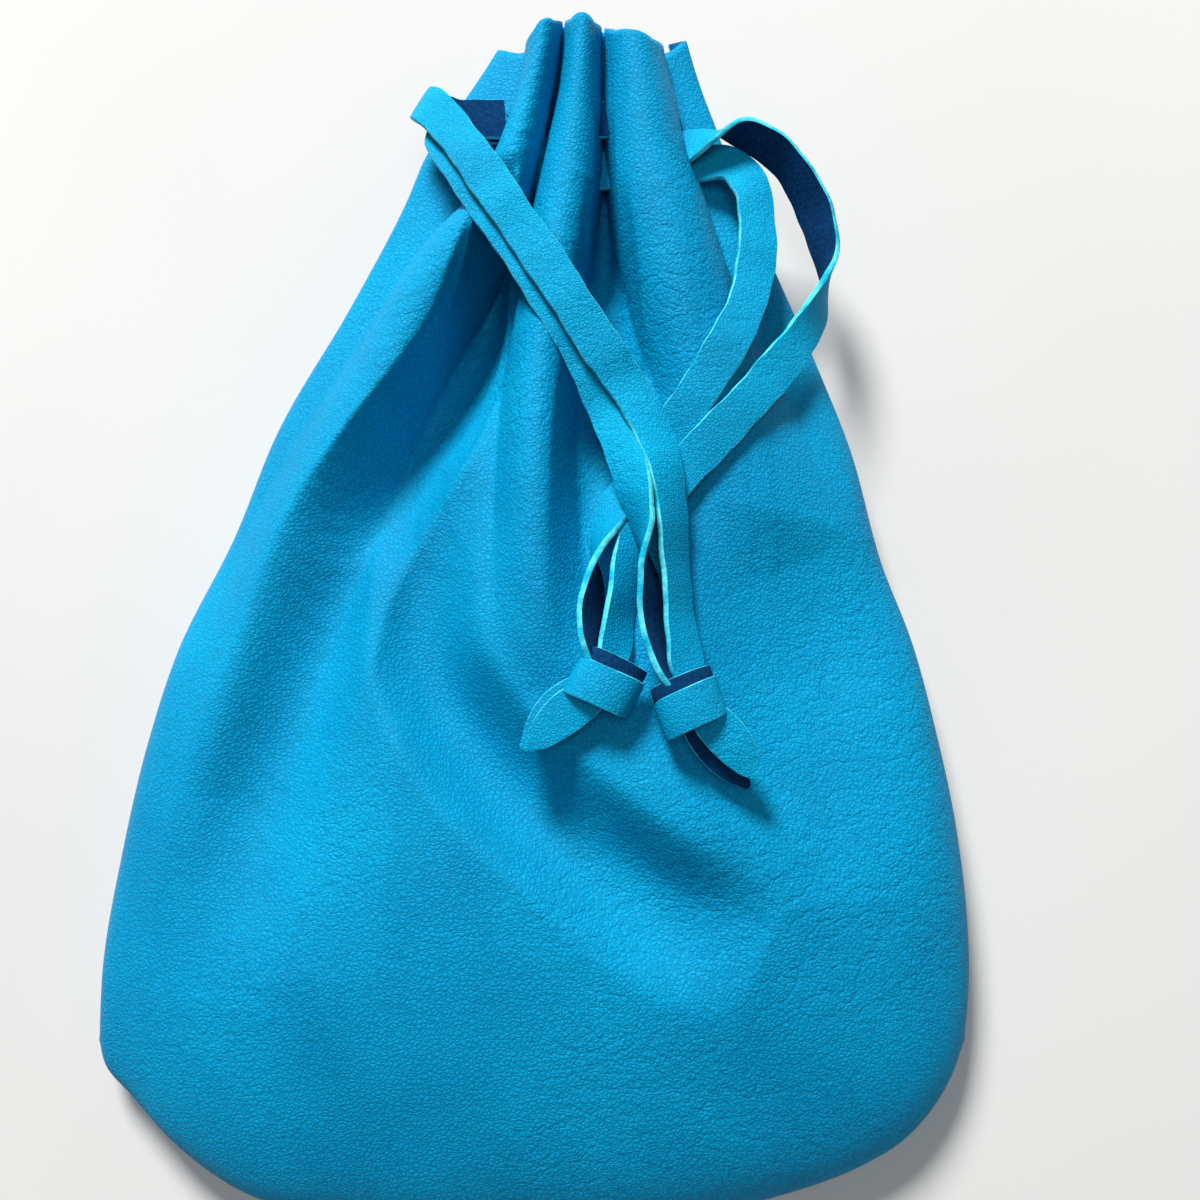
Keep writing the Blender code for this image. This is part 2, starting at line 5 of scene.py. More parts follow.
import bmesh
import bpy
import mathutils
import numpy as np
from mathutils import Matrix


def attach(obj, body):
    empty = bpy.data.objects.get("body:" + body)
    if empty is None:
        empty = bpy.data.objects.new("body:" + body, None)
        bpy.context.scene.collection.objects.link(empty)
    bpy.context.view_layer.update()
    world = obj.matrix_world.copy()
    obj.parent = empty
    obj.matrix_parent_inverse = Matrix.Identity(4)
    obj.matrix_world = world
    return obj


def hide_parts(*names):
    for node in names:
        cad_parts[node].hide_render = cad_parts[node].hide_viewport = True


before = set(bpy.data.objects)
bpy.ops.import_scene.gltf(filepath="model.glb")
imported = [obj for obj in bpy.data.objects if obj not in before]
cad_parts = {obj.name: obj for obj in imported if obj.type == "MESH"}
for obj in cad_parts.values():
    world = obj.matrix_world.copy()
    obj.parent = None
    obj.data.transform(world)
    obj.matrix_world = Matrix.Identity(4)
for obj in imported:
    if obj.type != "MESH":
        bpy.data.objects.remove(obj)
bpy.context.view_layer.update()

# Camera, in metres: nearly straight down, from the bottom's side of the bag's middle.
CAMERA_PLACE = (0.0134, -0.0305, 0.3131)
CAMERA_AIM = (0.0134, 0.0035, 0.0150)
CAMERA_LENS = 45
CAMERA_SENSOR = 36

# The bag, in metres: +X across it, +Y from its bottom seam to its mouth, +Z up from its back.
LEATHER = 0.0012
SEAM_ALLOWANCE = 0.004
SEAM_GAP = 0.0003
FRONT_CROWN = (2.2, 0.45)
BACK_CROWN = (5.0, 0.20)
FLAT_SOFTENING = 0.0015

# Plan of the bag, drawn as four lines that meet at its corners.
LEFT_SIDE = [(-0.0862, -0.0836), (-0.0856, -0.0680), (-0.0823, -0.0463), (-0.0777, -0.0242),
             (-0.0722, -0.0060), (-0.0614, 0.0166), (-0.0525, 0.0393), (-0.0382, 0.0641),
             (-0.0269, 0.0859), (-0.0223, 0.0971), (-0.0136, 0.1098), (-0.0082, 0.1160)]
RIGHT_SIDE = [(0.0859, -0.0836), (0.0869, -0.0719), (0.0851, -0.0423), (0.0813, -0.0222),
              (0.0767, -0.0039), (0.0707, 0.0124), (0.0648, 0.0351), (0.0576, 0.0535),
              (0.0475, 0.0766), (0.0414, 0.0912), (0.0367, 0.1047), (0.0315, 0.1175)]
BOTTOM = [(-0.0862, -0.0836), (-0.0848, -0.0884), (-0.0796, -0.0942), (-0.0694, -0.1047),
          (-0.0554, -0.1136), (-0.0356, -0.1178), (-0.0033, -0.1191), (0.0291, -0.1178),
          (0.0488, -0.1136), (0.0656, -0.1076), (0.0736, -0.1028), (0.0828, -0.0913),
          (0.0859, -0.0836)]
MOUTH = [(-0.0082, 0.1160), (-0.0021, 0.1150), (0.0025, 0.1180), (0.0098, 0.1187),
         (0.0201, 0.1152), (0.0273, 0.1150), (0.0315, 0.1175)]

# Heights along the bag, (y, z): its side seams, and how far the front swells above them.
SEAM_HEIGHT = [(-0.120, 0.006), (-0.060, 0.007), (0.0, 0.008), (0.040, 0.010),
               (0.080, 0.0135), (0.100, 0.014), (0.120, 0.0145)]
FRONT_RISE = [(-0.120, 0.021), (-0.060, 0.023), (0.0, 0.021), (0.030, 0.0165),
              (0.055, 0.0100), (0.080, 0.0050), (0.100, 0.0040), (0.120, 0.0040)]
BACK_LEVEL = [(-0.120, -0.004), (0.030, -0.004), (0.060, 0.002), (0.085, 0.0075),
              (0.100, 0.0082), (0.120, 0.0082)]
# How a pleat's section changes down the bag, (y, power): 0.5 is a tube, 1.5 a soft swell.
PLEAT_POWER = [(-0.120, 1.6), (0.0, 1.5), (0.040, 1.0), (0.070, 0.55), (0.120, 0.5)]

# Pleats and dips of the front, each a line of (x, y, half width, height) from the mouth down.
FRONT_PLEATS = {
    "left tube": [(0.0022, 0.1260, 0.0036, 0.0120), (0.0020, 0.1172, 0.0037, 0.0125),
                  (-0.0008, 0.1015, 0.0043, 0.0130), (-0.0034, 0.0921, 0.0050, 0.0130),
                  (-0.0081, 0.0807, 0.0062, 0.0135), (-0.0156, 0.0712, 0.0076, 0.0130),
                  (-0.0262, 0.0532, 0.0092, 0.0105), (-0.0419, 0.0209, 0.0125, 0.0062),
                  (-0.0500, 0.0017, 0.0130, 0.0040), (-0.0593, -0.0359, 0.0130, 0.0)],
    "middle tube": [(0.0100, 0.1260, 0.0038, 0.0125), (0.0099, 0.1167, 0.0039, 0.0130),
                    (0.0088, 0.1010, 0.0052, 0.0130), (0.0078, 0.0917, 0.0063, 0.0130),
                    (0.0060, 0.0803, 0.0067, 0.0130), (0.0042, 0.0682, 0.0068, 0.0125),
                    (0.0022, 0.0519, 0.0074, 0.0110), (0.0010, 0.0207, 0.0084, 0.0072),
                    (0.0020, 0.0016, 0.0095, 0.0045), (0.0045, -0.0154, 0.0095, 0.0)],
    "right tube": [(0.0200, 0.1260, 0.0058, 0.0125), (0.0202, 0.1167, 0.0060, 0.0130),
                   (0.0221, 0.1010, 0.0080, 0.0135), (0.0232, 0.0917, 0.0089, 0.0135),
                   (0.0258, 0.0803, 0.0100, 0.0135), (0.0290, 0.0682, 0.0106, 0.0125),
                   (0.0312, 0.0602, 0.0110, 0.0110), (0.0393, 0.0384, 0.0130, 0.0060),
                   (0.0514, 0.0093, 0.0150, 0.0)],
    "left trough": [(-0.0062, 0.0800, 0.0045, 0.0), (-0.0085, 0.0700, 0.0060, -0.0035),
                    (-0.0125, 0.0534, 0.0085, -0.0090), (-0.0185, 0.0410, 0.0105, -0.0110),
                    (-0.0270, 0.0280, 0.0120, -0.0100), (-0.0370, 0.0120, 0.0130, -0.0082),
                    (-0.0440, -0.0080, 0.0140, -0.0065), (-0.0530, -0.0360, 0.0150, -0.0045),
                    (-0.0580, -0.0560, 0.0150, -0.0025), (-0.0600, -0.0750, 0.0150, 0.0)],
    "middle trough": [(0.0145, 0.0860, 0.0040, 0.0), (0.0148, 0.0727, 0.0055, -0.0035),
                      (0.0145, 0.0563, 0.0075, -0.0080), (0.0135, 0.0381, 0.0090, -0.0085),
                      (0.0125, 0.0200, 0.0090, -0.0060), (0.0110, -0.0100, 0.0080, 0.0)],
    "curved trough": [(-0.0160, 0.0290, 0.0090, 0.0), (-0.0206, 0.0060, 0.0110, -0.0060),
                      (-0.0190, -0.0110, 0.0120, -0.0085), (-0.0093, -0.0270, 0.0130, -0.0090),
                      (0.0110, -0.0460, 0.0140, -0.0075), (0.0284, -0.0590, 0.0150, -0.0050),
                      (0.0440, -0.0660, 0.0150, 0.0)],
    "right dip": [(0.0560, 0.0180, 0.0250, 0.0), (0.0520, -0.0040, 0.0260, -0.0050),
                  (0.0530, -0.0300, 0.0260, -0.0040), (0.0540, -0.0560, 0.0230, 0.0)],
    "left slot": [(-0.0050, 0.0900, 0.0026, 0.0), (-0.0080, 0.0760, 0.0034, -0.0090),
                  (-0.0098, 0.0650, 0.0046, -0.0100), (-0.0125, 0.0540, 0.0060, -0.0045),
                  (-0.0180, 0.0430, 0.0070, 0.0)],
    "right slot": [(0.0143, 0.1010, 0.0018, 0.0), (0.0144, 0.0850, 0.0023, -0.0085),
                   (0.0143, 0.0727, 0.0034, -0.0080), (0.0142, 0.0620, 0.0045, 0.0)],
    "left hollow": [(-0.0360, 0.0100, 0.0160, 0.0), (-0.0400, -0.0150, 0.0180, -0.0030),
                    (-0.0450, -0.0400, 0.0200, -0.0034), (-0.0470, -0.0700, 0.0200, 0.0)],
    "low swell": [(0.0100, -0.0200, 0.0120, 0.0), (0.0250, -0.0370, 0.0130, 0.0020),
                  (0.0420, -0.0450, 0.0130, 0.0015), (0.0560, -0.0480, 0.0130, 0.0)],
}
BACK_PLEATS = {
    "first tube": [(-0.0010, 0.1260, 0.0048, -0.0105), (-0.0010, 0.1000, 0.0048, -0.0105),
                   (-0.0070, 0.0800, 0.0070, -0.0100), (-0.0200, 0.0550, 0.0090, -0.0040),
                   (-0.0320, 0.0300, 0.0100, 0.0)],
    "second tube": [(0.0105, 0.1260, 0.0048, -0.0105), (0.0105, 0.1000, 0.0048, -0.0105),
                    (0.0095, 0.0800, 0.0065, -0.0100), (0.0070, 0.0550, 0.0090, -0.0040),
                    (0.0040, 0.0300, 0.0100, 0.0)],
    "third tube": [(0.0220, 0.1260, 0.0048, -0.0105), (0.0220, 0.1000, 0.0048, -0.0105),
                   (0.0265, 0.0800, 0.0070, -0.0100), (0.0350, 0.0550, 0.0090, -0.0040),
                   (0.0420, 0.0300, 0.0100, 0.0)],
}
# Points that a pleat's line and a panel's row are first drawn with.
PLEAT_POINTS = 120
ROW_POINTS = 900

# Each lace is a flat strip. A station is (x, y, z) of its middle and the way across it.
LACE_HALF_WIDTH = 0.0040
LACE_THICKNESS = 0.0014

# Strands run from the neck to their knot.
LEFT_UPPER_STRAND = [
    ((-0.0060, 0.1005, 0.0200), (0, -1, 0)), ((-0.0130, 0.1012, 0.0197), (0, -1, 0)),
    ((-0.0190, 0.1028, 0.0203), (-0.40, -0.92, 0)), ((-0.0226, 0.1036, 0.0230), (-0.50, -0.87, 0)),
    ((-0.0212, 0.1022, 0.0260), (-0.60, -0.80, 0)), ((-0.0181, 0.0986, 0.0278), (-0.80, -0.60, 0)),
    ((-0.0122, 0.0900, 0.0314), (-0.84, -0.54, 0)), ((-0.0061, 0.0805, 0.0333), (-0.84, -0.54, 0)),
    ((-0.0005, 0.0719, 0.0340), (-0.84, -0.54, 0)), ((0.0042, 0.0647, 0.0349), (-0.84, -0.54, 0)),
    ((0.0090, 0.0571, 0.0346), (-0.84, -0.54, 0)), ((0.0140, 0.0495, 0.0334), (-0.86, -0.50, 0.05)),
    ((0.0192, 0.0420, 0.0318), (-0.88, -0.42, 0.20)), ((0.0236, 0.0338, 0.0323), (-0.85, -0.30, 0.42)),
    ((0.0263, 0.0241, 0.0331), (-0.78, -0.10, 0.60)), ((0.0273, 0.0133, 0.0324), (-0.66, 0, 0.75)),
    ((0.0281, 0.0018, 0.0318), (-0.66, 0, 0.75)), ((0.0293, -0.0088, 0.0325), (-0.80, 0.10, 0.58)),
    ((0.0302, -0.0160, 0.0338), (-0.95, 0.10, 0.20)),
]
LEFT_UNDER_STRAND = [
    ((-0.0060, 0.1005, 0.0223), (0, -1, 0)), ((-0.0115, 0.1007, 0.0223), (0, -1, 0)),
    ((-0.0165, 0.1012, 0.0223), (-0.35, -0.94, 0)), ((-0.0194, 0.1016, 0.0233), (-0.50, -0.87, 0)),
    ((-0.0188, 0.1000, 0.0243), (-0.62, -0.78, 0)), ((-0.0182, 0.0966, 0.0256), (-0.80, -0.60, 0)),
    ((-0.0139, 0.0878, 0.0294), (-0.84, -0.54, 0)), ((-0.0077, 0.0782, 0.0312), (-0.84, -0.54, 0)),
    ((-0.0021, 0.0697, 0.0321), (-0.84, -0.54, 0)), ((0.0028, 0.0619, 0.0328), (-0.84, -0.54, 0)),
    ((0.0072, 0.0545, 0.0322), (-0.84, -0.54, 0)), ((0.0118, 0.0465, 0.0310), (-0.87, -0.48, -0.10)),
    ((0.0156, 0.0370, 0.0304), (-0.88, -0.30, -0.25)), ((0.0188, 0.0274, 0.0332), (-0.82, -0.15, -0.50)),
    ((0.0210, 0.0175, 0.0347), (-0.55, 0, -0.83)), ((0.0224, 0.0058, 0.0345), (0.40, 0, -0.92)),
    ((0.0238, -0.0068, 0.0338), (0.50, 0, -0.87)), ((0.0280, -0.0165, 0.0340), (0.25, 0.20, -0.95)),
]
RIGHT_OUTER_STRAND = [
    ((0.0260, 0.0925, 0.0223), (0, -1, 0)), ((0.0316, 0.0950, 0.0223), (0, -0.95, 0.30)),
    ((0.0360, 0.0970, 0.0226), (0, -0.60, 0.80)), ((0.0417, 0.0977, 0.0225), (0.10, 0.30, 0.95)),
    ((0.0479, 0.0954, 0.0210), (0.35, 0.55, 0.75)), ((0.0538, 0.0896, 0.0190), (0.55, 0.45, 0.70)),
    ((0.0573, 0.0830, 0.0175), (0.70, 0.25, 0.67)), ((0.0593, 0.0758, 0.0170), (0.60, 0, 0.80)),
    ((0.0592, 0.0675, 0.0182), (-0.10, 0.20, 0.97)), ((0.0547, 0.0573, 0.0210), (-0.65, 0.45, 0.60)),
    ((0.0472, 0.0468, 0.0258), (-0.72, 0.62, 0.30)), ((0.0401, 0.0383, 0.0296), (-0.73, 0.65, 0.20)),
    ((0.0336, 0.0314, 0.0294), (-0.73, 0.67, 0.10)), ((0.0283, 0.0257, 0.0283), (-0.72, 0.69, 0)),
    ((0.0240, 0.0200, 0.0283), (-0.76, 0.65, 0)), ((0.0205, 0.0138, 0.0293), (-0.80, 0.50, 0.30)),
    ((0.0182, 0.0059, 0.0313), (-0.68, 0.10, 0.72)), ((0.0170, -0.0019, 0.0320), (-0.66, 0, 0.75)),
    ((0.0158, -0.0095, 0.0334), (-0.85, 0, 0.50)), ((0.0150, -0.0130, 0.0346), (-1, 0, 0)),
]
RIGHT_INNER_STRAND = [
    ((0.0290, 0.0918, 0.0200), (0, -1, 0)), ((0.0344, 0.0922, 0.0200), (0, -1, 0.10)),
    ((0.0394, 0.0922, 0.0203), (-0.35, -0.90, 0.25)), ((0.0433, 0.0880, 0.0216), (-0.75, -0.60, 0.25)),
    ((0.0448, 0.0801, 0.0228), (-0.95, -0.10, 0.30)), ((0.0446, 0.0713, 0.0245), (-0.95, 0.10, 0.30)),
    ((0.0424, 0.0613, 0.0272), (-0.93, 0.25, 0.25)), ((0.0382, 0.0519, 0.0302), (-0.88, 0.45, 0.15)),
    ((0.0336, 0.0442, 0.0303), (-0.85, 0.52, 0)), ((0.0291, 0.0374, 0.0288), (-0.84, 0.54, 0)),
    ((0.0250, 0.0314, 0.0268), (-0.82, 0.57, 0)), ((0.0208, 0.0255, 0.0268), (-0.80, 0.55, -0.20)),
    ((0.0164, 0.0200, 0.0280), (-0.70, 0.40, -0.60)), ((0.0132, 0.0127, 0.0303), (-0.30, 0.15, -0.94)),
    ((0.0120, 0.0039, 0.0324), (0.42, 0, -0.91)), ((0.0119, -0.0060, 0.0334), (0.52, 0, -0.85)),
    ((0.0128, -0.0125, 0.0338), (0.30, 0, -0.95)),
]
# Runs round the neck, through the front pleats one way and the back pleats the other.
LEFT_NECK_RUN = [
    ((0.0020, 0.1005, 0.0223), (0, 1, 0)), ((0.0120, 0.1005, 0.0223), (0, 1, 0)),
    ((0.0190, 0.1005, 0.0222), (0, 1, 0)), ((0.0230, 0.1005, 0.0208), (0, 1, 0)),
    ((0.0240, 0.1005, 0.0175), (0, 1, 0)), ((0.0232, 0.1005, 0.0120), (0, 1, 0)),
    ((0.0220, 0.1005, 0.0080), (0, 1, 0)), ((0.0185, 0.1005, 0.0062), (0, 1, 0)),
    ((0.0120, 0.1005, 0.0060), (0, 1, 0)), ((0.0040, 0.1005, 0.0060), (0, 1, 0)),
    ((0.0006, 0.1005, 0.0070), (0, 1, 0)), ((-0.0006, 0.1005, 0.0098), (0.35, 0.94, 0)),
    ((-0.0008, 0.1005, 0.0138), (1, 0, 0)), ((-0.0010, 0.1005, 0.0172), (0.35, -0.94, 0)),
    ((-0.0022, 0.1005, 0.0195), (0, -1, 0)),
]
RIGHT_NECK_RUN = [
    ((0.0185, 0.0920, 0.0180), (0, 1, 0)), ((0.0120, 0.0920, 0.0166), (0, 1, 0)),
    ((0.0060, 0.0920, 0.0166), (0, 1, 0)), ((0.0015, 0.0920, 0.0165), (0, 1, 0)),
    ((-0.0022, 0.0920, 0.0162), (0, 1, 0)), ((-0.0034, 0.0920, 0.0145), (0, 1, 0)),
    ((-0.0026, 0.0920, 0.0120), (0, 1, 0)), ((-0.0010, 0.0920, 0.0080), (0, 1, 0)),
    ((0.0020, 0.0920, 0.0062), (0, 1, 0)), ((0.0100, 0.0920, 0.0060), (0, 1, 0)),
    ((0.0180, 0.0920, 0.0060), (0, 1, 0)), ((0.0214, 0.0920, 0.0070), (0, 1, 0)),
    ((0.0226, 0.0920, 0.0098), (-0.35, 0.94, 0)), ((0.0228, 0.0920, 0.0138), (-1, 0, 0)),
    ((0.0230, 0.0920, 0.0172), (-0.35, -0.94, 0)), ((0.0244, 0.0920, 0.0195), (0, -1, 0)),
]
# Free ends past the knots, narrowing to points.
LEFT_TAILS = [
    [((0.0320, -0.0190, 0.0345), (-0.60, -0.52, 0)), ((0.0370, -0.0243, 0.0336), (-0.68, -0.60, 0)),
     ((0.0434, -0.0322, 0.0318), (-0.12, -0.10, 0))],
    [((0.0305, -0.0200, 0.0322), (0.60, 0.52, 0)), ((0.0350, -0.0258, 0.0314), (0.66, 0.60, 0)),
     ((0.0412, -0.0335, 0.0298), (0.12, 0.10, 0))],
]
RIGHT_TAILS = [
    [((0.0130, -0.0155, 0.0345), (-0.50, 0.62, 0)), ((0.0070, -0.0198, 0.0338), (-0.55, 0.72, 0)),
     ((-0.0006, -0.0266, 0.0323), (-0.10, 0.14, 0))],
    [((0.0118, -0.0145, 0.0326), (-0.50, 0.62, 0)), ((0.0058, -0.0188, 0.0319), (-0.55, 0.72, 0)),
     ((-0.0014, -0.0262, 0.0304), (-0.10, 0.14, 0))],
]
TAIL_WIDTHS = [0.75, 0.95, 1.0, 0.9, 0.65, 0.12]

# Each knot: its middle and the way the lace leaves it; inside it a lump, round it a loop and a band.
LEFT_KNOT = (0.0301, -0.0183, 0.0336)
LEFT_KNOT_WAY = (0.35, -1, 0)
RIGHT_KNOT = (0.0143, -0.0146, 0.0338)
RIGHT_KNOT_WAY = (-0.55, -1, 0)
CORE_RADII = (0.0050, 0.0044, 0.0026)
CORE_RIPPLE = 0.06
LOOP_BACK = 0.0034
LOOP_RADII = (0.0053, 0.0030)
LOOP_START, LOOP_TURN, LOOP_PITCH = 200, -220, 0.0010
LOOP_WIDTHS = [0.5, 0.6, 0.6, 0.5]
BAND_FORWARD = 0.0006
BAND_RADII = (0.0058, 0.0034)
BAND_START, BAND_TURN, BAND_PITCH = 215, -255, 0.0022
BAND_WIDTHS = [0.8, 0.95, 0.95, 0.95, 0.8]

# The sewing thread runs round the seam just inside the allowances' edge.
THREAD_RADIUS = 0.0003
THREAD_INSET = 0.0013
THREAD_LIFT = 0.0006

# Faces across and along each panel.
PANEL_GRID = ((204, 214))

# Slits through the pleats at the neck, (low corner, high corner) of the bars that the laces fill.
FRONT_SLITS = [((-0.0040, 0.0963, 0.0213), (0.0180, 0.1047, 0.0232)),
               ((-0.0060, 0.0878, 0.0155), (0.0200, 0.0962, 0.0176)),
               ((-0.0130, 0.0962, 0.0190), (-0.0040, 0.1050, 0.0232)),
               ((0.0270, 0.0872, 0.0190), (0.0360, 0.1000, 0.0240))]
BACK_SLITS = [((-0.0010, 0.0875, 0.0050), (0.0220, 0.1050, 0.0070))]

# How far round a slit the faces are cut, the step along a lace, and where a strand narrows into its knot.
SLIT_REACH = 0.003
FINE_STEP = 0.0008
KNOT_REACH = 0.008

# Grain: the pebbles' size on panels and laces, and the share of it that the finer pebbles have.
PANEL_GRAIN = 0.0009
LACE_GRAIN = 0.0007
FINE_GRAIN_SHARE = 0.42
SPECULAR = 0.08

# Dyes, linear: dark, middle and light on the grain side, dark and light on flesh sides and cut edges.
PANEL_COLOURS = ((0.0, 0.26, 0.51), (0.0, 0.30, 0.57), (0.0, 0.345, 0.63))
PANEL_FLESH = ((0.0, 0.05, 0.15), (0.005, 0.10, 0.26))
PANEL_EDGE = ((0.0, 0.25, 0.45), (0.01, 0.40, 0.62))
LACE_COLOURS = ((0.0, 0.28, 0.52), (0.0, 0.345, 0.62), (0.0, 0.42, 0.70))
LACE_FLESH = ((0.0, 0.020, 0.075), (0.001, 0.045, 0.14))
LACE_EDGE = ((0.0, 0.45, 0.66), (0.10, 0.72, 0.86))
THREAD_COLOURS = ((0.0, 0.12, 0.24), (0.0, 0.22, 0.4))
FLOOR_COLOURS = ((0.60, 0.60, 0.59), (0.64, 0.64, 0.63))

# Studio light: name, place, size, power and colour; the key comes from beyond the neck's left.
FLOOR_REACH = 2
SKY_COLOUR = (0.86, 0.93, 1.0, 1)
SKY_STRENGTH = 0.17
LIGHT_AIM = (0.0, 0.0, 0.01)
LIGHTS = [
    ("key", (-0.62, 1.90, 1.45), 0.75, 112.0, (1.0, 0.98, 0.96)),
    ("overhead", (0.05, 0.10, 1.60), 0.80, 5.5, (0.94, 0.97, 1.0)),
]

# Where the mouth's edge leans out: from y to y, below a height, and how far for each metre below it.
FLARE_START = 0.106
FLARE_END = 0.117
FLARE_CREST = 0.0285
FLARE_DEPTH = 0.008
FLARE_SLOPE = 0.45


# ---------------------------------------------------------------- shape of the bag

def smooth_between(at, values, where):
    """Values of the smooth curve through the knots (at, values), read at each place in where."""
    at = np.asarray(at, float)
    values = np.asarray(values, float)
    slopes = np.gradient(values, at, axis=0)
    left = np.clip(np.searchsorted(at, where, side="right") - 1, 0, len(at) - 2)
    gap = at[left + 1] - at[left]
    t = np.clip((where - at[left]) / gap, 0, 1)
    if values.ndim > 1:
        gap = gap[..., None]
        t = t[..., None]
    return (
        values[left] * (2 * t**3 - 3 * t**2 + 1)
        + slopes[left] * gap * (t**3 - 2 * t**2 + t)
        + values[left + 1] * (3 * t**2 - 2 * t**3)
        + slopes[left + 1] * gap * (t**3 - t**2)
    )


def along(knots, share):
    """Points of the smooth curve through the knots, at shares of its length from 0 to 1."""
    knots = np.array(knots)
    steps = np.linalg.norm(np.diff(knots[:, :2], axis=0), axis=1)
    at = np.concatenate([[0], np.cumsum(steps)]) / steps.sum()
    return smooth_between(at, knots, share)


def level(knots, y):
    """Height of a line of (y, height) knots at y."""
    at, heights = np.array(knots).T
    return smooth_between(at, heights, y)


def plan_point(u, v):
    """Plan position at u, from the left seam to the right one, and v, from the bottom to the mouth."""
    low, high = along(BOTTOM, u), along(MOUTH, u)
    left, right = along(LEFT_SIDE, v), along(RIGHT_SIDE, v)
    corners = np.array([LEFT_SIDE[0], RIGHT_SIDE[0], LEFT_SIDE[-1], RIGHT_SIDE[-1]])
    u, v = u[..., None], v[..., None]
    flat = (corners[0] * (1 - u) + corners[1] * u) * (1 - v) + (corners[2] * (1 - u) + corners[3] * u) * v
    return low * (1 - v) + high * v + left * (1 - u) + right * u - flat


def pleat_height(route, x, y):
    """Height that one pleat adds at each plan position."""
    line = along(route, np.linspace(0, 1, PLEAT_POINTS))
    away = np.hypot(x[..., None] - line[:, 0], y[..., None] - line[:, 1])
    nearest = away.argmin(axis=-1)
    share = np.clip(away.min(axis=-1) / line[nearest, 2], 0, 1)
    return line[nearest, 3] * (1 - share**2) ** level(PLEAT_POWER, np.clip(y, -0.12, 0.12))


def crown(u, v, shape):
    """Swell of a panel, from 0 on its seams to 1 over its middle."""
    power, bottom_share = shape
    across = 1 - np.abs(2 * u - 1) ** power
    up = 1 - (1 - np.clip(v / bottom_share, 0, 1)) ** power
    return np.sqrt(np.clip(across, 0, 1) * np.clip(up, 0, 1))


def resting(z):
    """Heights held off the table: exactly 0 where the bag's back lies flat on it."""
    soft = (z + FLAT_SOFTENING) ** 2 / (4 * FLAT_SOFTENING)
    return np.where(z < -FLAT_SOFTENING, 0, np.where(z < FLAT_SOFTENING, soft, z))


def front_point(u, v):
    """Points of the front panel's grain side."""
    x, y = np.moveaxis(plan_point(u, v), -1, 0)
    seam = level(SEAM_HEIGHT, y)
    z = seam + SEAM_GAP / 2 + level(FRONT_RISE, y) * crown(u, v, FRONT_CROWN)
    for route in FRONT_PLEATS.values():
        z = z + pleat_height(route, x, y) * np.minimum(1, 6 * crown(u, v, FRONT_CROWN))
    return np.stack([x, y, z], axis=-1)


def back_point(u, v):
    """Points of the back panel's grain side."""
    x, y = np.moveaxis(plan_point(u, v), -1, 0)
    seam = level(SEAM_HEIGHT, y) - SEAM_GAP / 2
    z = seam + (level(BACK_LEVEL, y) - seam) * crown(u, v, BACK_CROWN)
    for route in BACK_PLEATS.values():
        z = z + pleat_height(route, x, y) * np.minimum(1, 6 * crown(u, v, BACK_CROWN))
    return np.stack([x, y, resting(z)], axis=-1)


def panel_rows(point, columns, rows):
    """Rows of points from the bottom to the mouth, each cut at equal steps of its own length."""
    u = np.linspace(0, 1, ROW_POINTS)
    sheet = []
    for v in np.linspace(0, 1, rows + 1):
        row = point(u, np.full_like(u, v))
        steps = np.linalg.norm(np.diff(row, axis=0), axis=1)
        length = np.concatenate([[0], np.cumsum(steps)])
        even = np.interp(np.linspace(0, length[-1], columns + 1), length, u)
        sheet.append(point(even, np.full_like(even, v)))
    return np.array(sheet)


def seam_order(rows, columns):
    """Indices of a panel's edge points, down its left seam, along its bottom and up its right seam."""
    index = np.arange(rows * columns).reshape(rows, columns)
    return np.concatenate([index[::-1, 0], index[0, 1:-1], index[:, -1]])


def inset(line, distance):
    """A seam line moved into the bag, level with itself."""
    travel = np.gradient(line[:, :2], axis=0)
    travel = travel / np.linalg.norm(travel, axis=1)[:, None]
    inward = np.stack([-travel[:, 1], travel[:, 0], np.zeros(len(travel))], axis=1)
    return line + inward * distance


def panel_faces(sheet):
    """Vertices and faces of a panel facing up, with its seam allowance folded in under it."""
    rows, columns = sheet.shape[:2]
    index = np.arange(rows * columns).reshape(rows, columns)
    faces = []
    for j in range(rows - 1):
        for i in range(columns - 1):
            faces.append((index[j, i], index[j, i + 1], index[j + 1, i + 1], index[j + 1, i]))
    seam = seam_order(rows, columns)
    allowance = inset(sheet.reshape(-1, 3)[seam], SEAM_ALLOWANCE)
    first = rows * columns
    for k in range(len(seam) - 1):
        faces.append((seam[k + 1], seam[k], first + k, first + k + 1))
    points = np.concatenate([sheet.reshape(-1, 3), allowance])
    return points, [tuple(int(i) for i in face) for face in faces]


# ---------------------------------------------------------------- materials

def new_material(name, roughness, specular):
    """A Principled material; returns it with its node list, links and shader."""
    made = bpy.data.materials.new(name)
    made.use_nodes = True
    tree = made.node_tree
    shader = tree.nodes["Principled BSDF"]
    shader.inputs["Roughness"].default_value = roughness
    shader.inputs["Specular IOR Level"].default_value = specular
    return made, tree.nodes, tree.links, shader


def noise(nodes, links, place, scale, detail, stretch=(1, 1, 1)):
    """Fractal noise over the object, optionally stretched; returns its value."""
    mapping = nodes.new("ShaderNodeMapping")
    mapping.inputs["Scale"].default_value = stretch
    links.new(place, mapping.inputs["Vector"])
    made = nodes.new("ShaderNodeTexNoise")
    made.inputs["Scale"].default_value = scale
    made.inputs["Detail"].default_value = detail
    links.new(mapping.outputs["Vector"], made.inputs["Vector"])
    return made.outputs["Fac"]


